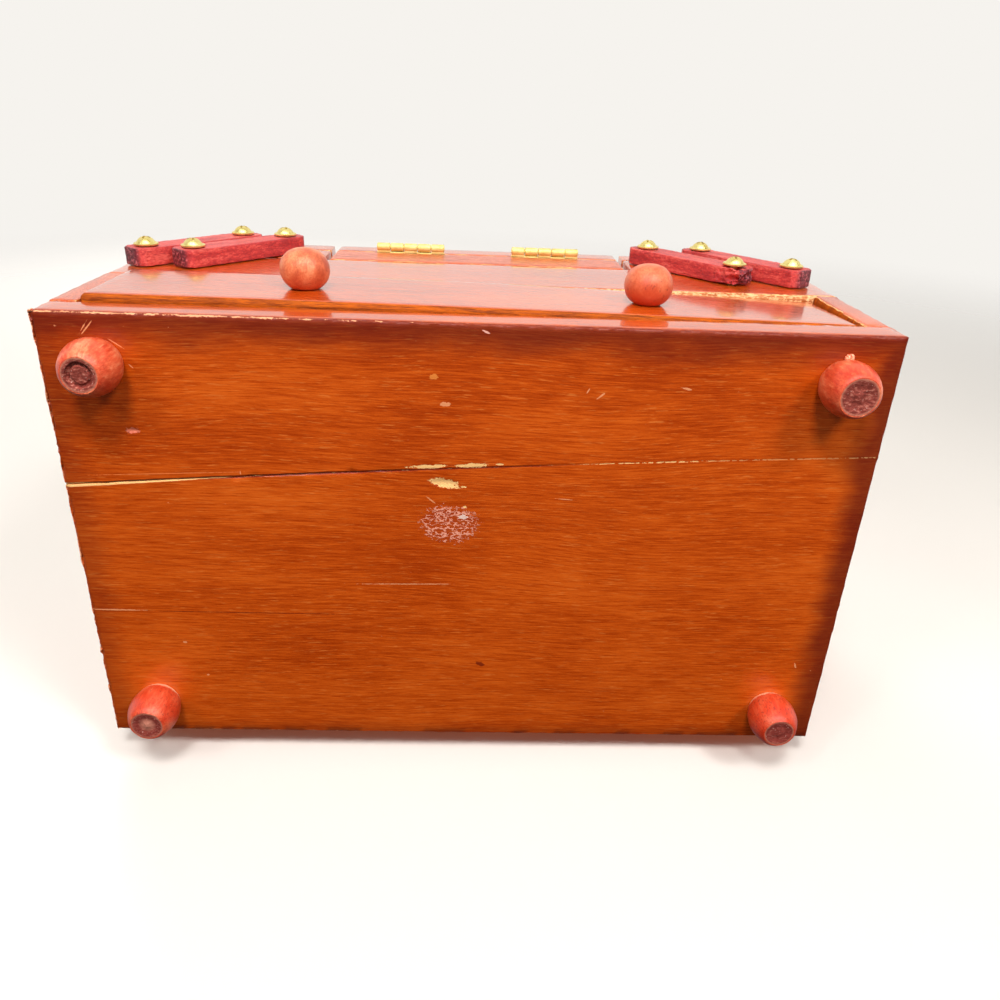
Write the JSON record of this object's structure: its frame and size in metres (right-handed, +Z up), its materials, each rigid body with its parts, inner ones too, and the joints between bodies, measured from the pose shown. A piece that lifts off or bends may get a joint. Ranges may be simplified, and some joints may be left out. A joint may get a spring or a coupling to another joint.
{
  "type": "cantilever sewing box",
  "caption": "Wooden cantilever sewing box on turned feet, with a drawer below, a lidded middle well, and lidded side trays that swing out on wooden arms.",
  "frame": {"origin": "on the ground under the middle of the outline; the case's own middle plane is 2.70 mm further back", "axes": "+X to the box's right as seen from the front, +Y to its back, +Z up"},
  "size_m": [0.3094, 0.2083, 0.167],
  "materials": {
    "stained_wood": "orange-brown stain under gloss varnish",
    "plain_wood": "pale plywood, lightly stained",
    "arm_wood": "red dyed wood, matt",
    "foot_wood": "red-orange lacquered turned wood",
    "knob_wood": "salmon-red stained turned wood, satin",
    "brass": "pale yellow plated brass"
  },
  "bodies": {
    "case": {"bottom_board": "stained_wood", "foot_front_left": "foot_wood", "foot_front_right": "foot_wood", "foot_back_left": "foot_wood", "foot_back_right": "foot_wood", "left_end_panel": "stained_wood", "right_end_panel": "stained_wood", "front_panel": "stained_wood", "back_panel": "stained_wood", "drawer_shelf": "plain_wood", "left_partition": "stained_wood", "right_partition": "stained_wood", "front_riser": "stained_wood", "back_riser": "stained_wood", "case_pivot_screws": "brass", "middle_hinge_lower_leaves": "brass", "middle_hinge_pins": "brass"},
    "drawer": {"drawer_front": "stained_wood", "drawer_left_side": "plain_wood", "drawer_right_side": "plain_wood", "drawer_back": "plain_wood", "drawer_floor": "plain_wood", "left_knob": "knob_wood", "right_knob": "knob_wood", "knob_screws": "brass"},
    "middle_lid": {"middle_lid": "stained_wood", "middle_hinge_upper_leaves": "brass"},
    "left_outer_arms": {"left_outer_front_arm": "arm_wood", "left_outer_back_arm": "arm_wood"},
    "left_inner_arms": {"left_inner_front_arm": "arm_wood", "left_inner_back_arm": "arm_wood"},
    "left_tray": {"left_tray_floor": "plain_wood", "left_tray_front_wall": "stained_wood", "left_tray_back_wall": "stained_wood", "left_tray_inner_wall": "stained_wood", "left_tray_outer_wall": "stained_wood", "left_tray_screws": "brass", "left_hinge_lower_leaves": "brass", "left_hinge_pins": "brass"},
    "left_tray_lid": {"left_tray_lid": "stained_wood", "left_hinge_upper_leaves": "brass"},
    "right_outer_arms": {"right_outer_front_arm": "arm_wood", "right_outer_back_arm": "arm_wood"},
    "right_inner_arms": {"right_inner_front_arm": "arm_wood", "right_inner_back_arm": "arm_wood"},
    "right_tray": {"right_tray_floor": "plain_wood", "right_tray_front_wall": "stained_wood", "right_tray_back_wall": "stained_wood", "right_tray_inner_wall": "stained_wood", "right_tray_outer_wall": "stained_wood", "right_tray_screws": "brass", "right_hinge_lower_leaves": "brass", "right_hinge_pins": "brass"},
    "right_tray_lid": {"right_tray_lid": "stained_wood", "right_hinge_upper_leaves": "brass"}
  },
  "joints": [
    {"name": "drawer_slide", "type": "slide", "parent": "case", "child": "drawer", "axis": [0, -1, 0], "range_m": [0, 0.14]},
    {"name": "middle_lid_hinge", "type": "hinge", "parent": "case", "child": "middle_lid", "pos_m": [0, -0.0898, 0.15225], "axis": [1, 0, 0], "range_deg": [0, 190]},
    {"name": "left_arm_swing", "type": "hinge", "parent": "case", "child": "left_outer_arms", "pos_m": [-0.14, 0.0027, 0.102], "axis": [0, -1, 0], "range_deg": [0, 76]},
    {"name": "left_inner_arm_swing", "type": "hinge", "parent": "case", "child": "left_inner_arms", "pos_m": [-0.1205, 0.0027, 0.102], "axis": [0, -1, 0], "range_deg": [0, 76]},
    {"name": "left_tray_level", "type": "hinge", "parent": "left_outer_arms", "child": "left_tray", "pos_m": [-0.10952, 0.0027, 0.141], "axis": [0, 1, 0], "range_deg": [0, 76]},
    {"name": "left_tray_lid_hinge", "type": "hinge", "parent": "left_tray", "child": "left_tray_lid", "pos_m": [-0.1525, 0.0027, 0.15225], "axis": [0, -1, 0], "range_deg": [0, 190]},
    {"name": "right_arm_swing", "type": "hinge", "parent": "case", "child": "right_outer_arms", "pos_m": [0.136, 0.0027, 0.102], "axis": [0, 1, 0], "range_deg": [0, 76]},
    {"name": "right_inner_arm_swing", "type": "hinge", "parent": "case", "child": "right_inner_arms", "pos_m": [0.111, 0.0027, 0.102], "axis": [0, 1, 0], "range_deg": [0, 76]},
    {"name": "right_tray_level", "type": "hinge", "parent": "right_outer_arms", "child": "right_tray", "pos_m": [0.10552, 0.0027, 0.141], "axis": [0, -1, 0], "range_deg": [0, 76]},
    {"name": "right_tray_lid_hinge", "type": "hinge", "parent": "right_tray", "child": "right_tray_lid", "pos_m": [0.1525, 0.0027, 0.15225], "axis": [0, 1, 0], "range_deg": [0, 190]}
  ],
  "couplings": [
    {"joint": "left_inner_arm_swing", "follows": "left_arm_swing", "ratio": 1},
    {"joint": "left_tray_level", "follows": "left_arm_swing", "ratio": 1},
    {"joint": "right_inner_arm_swing", "follows": "right_arm_swing", "ratio": 1},
    {"joint": "right_tray_level", "follows": "right_arm_swing", "ratio": 1}
  ]
}
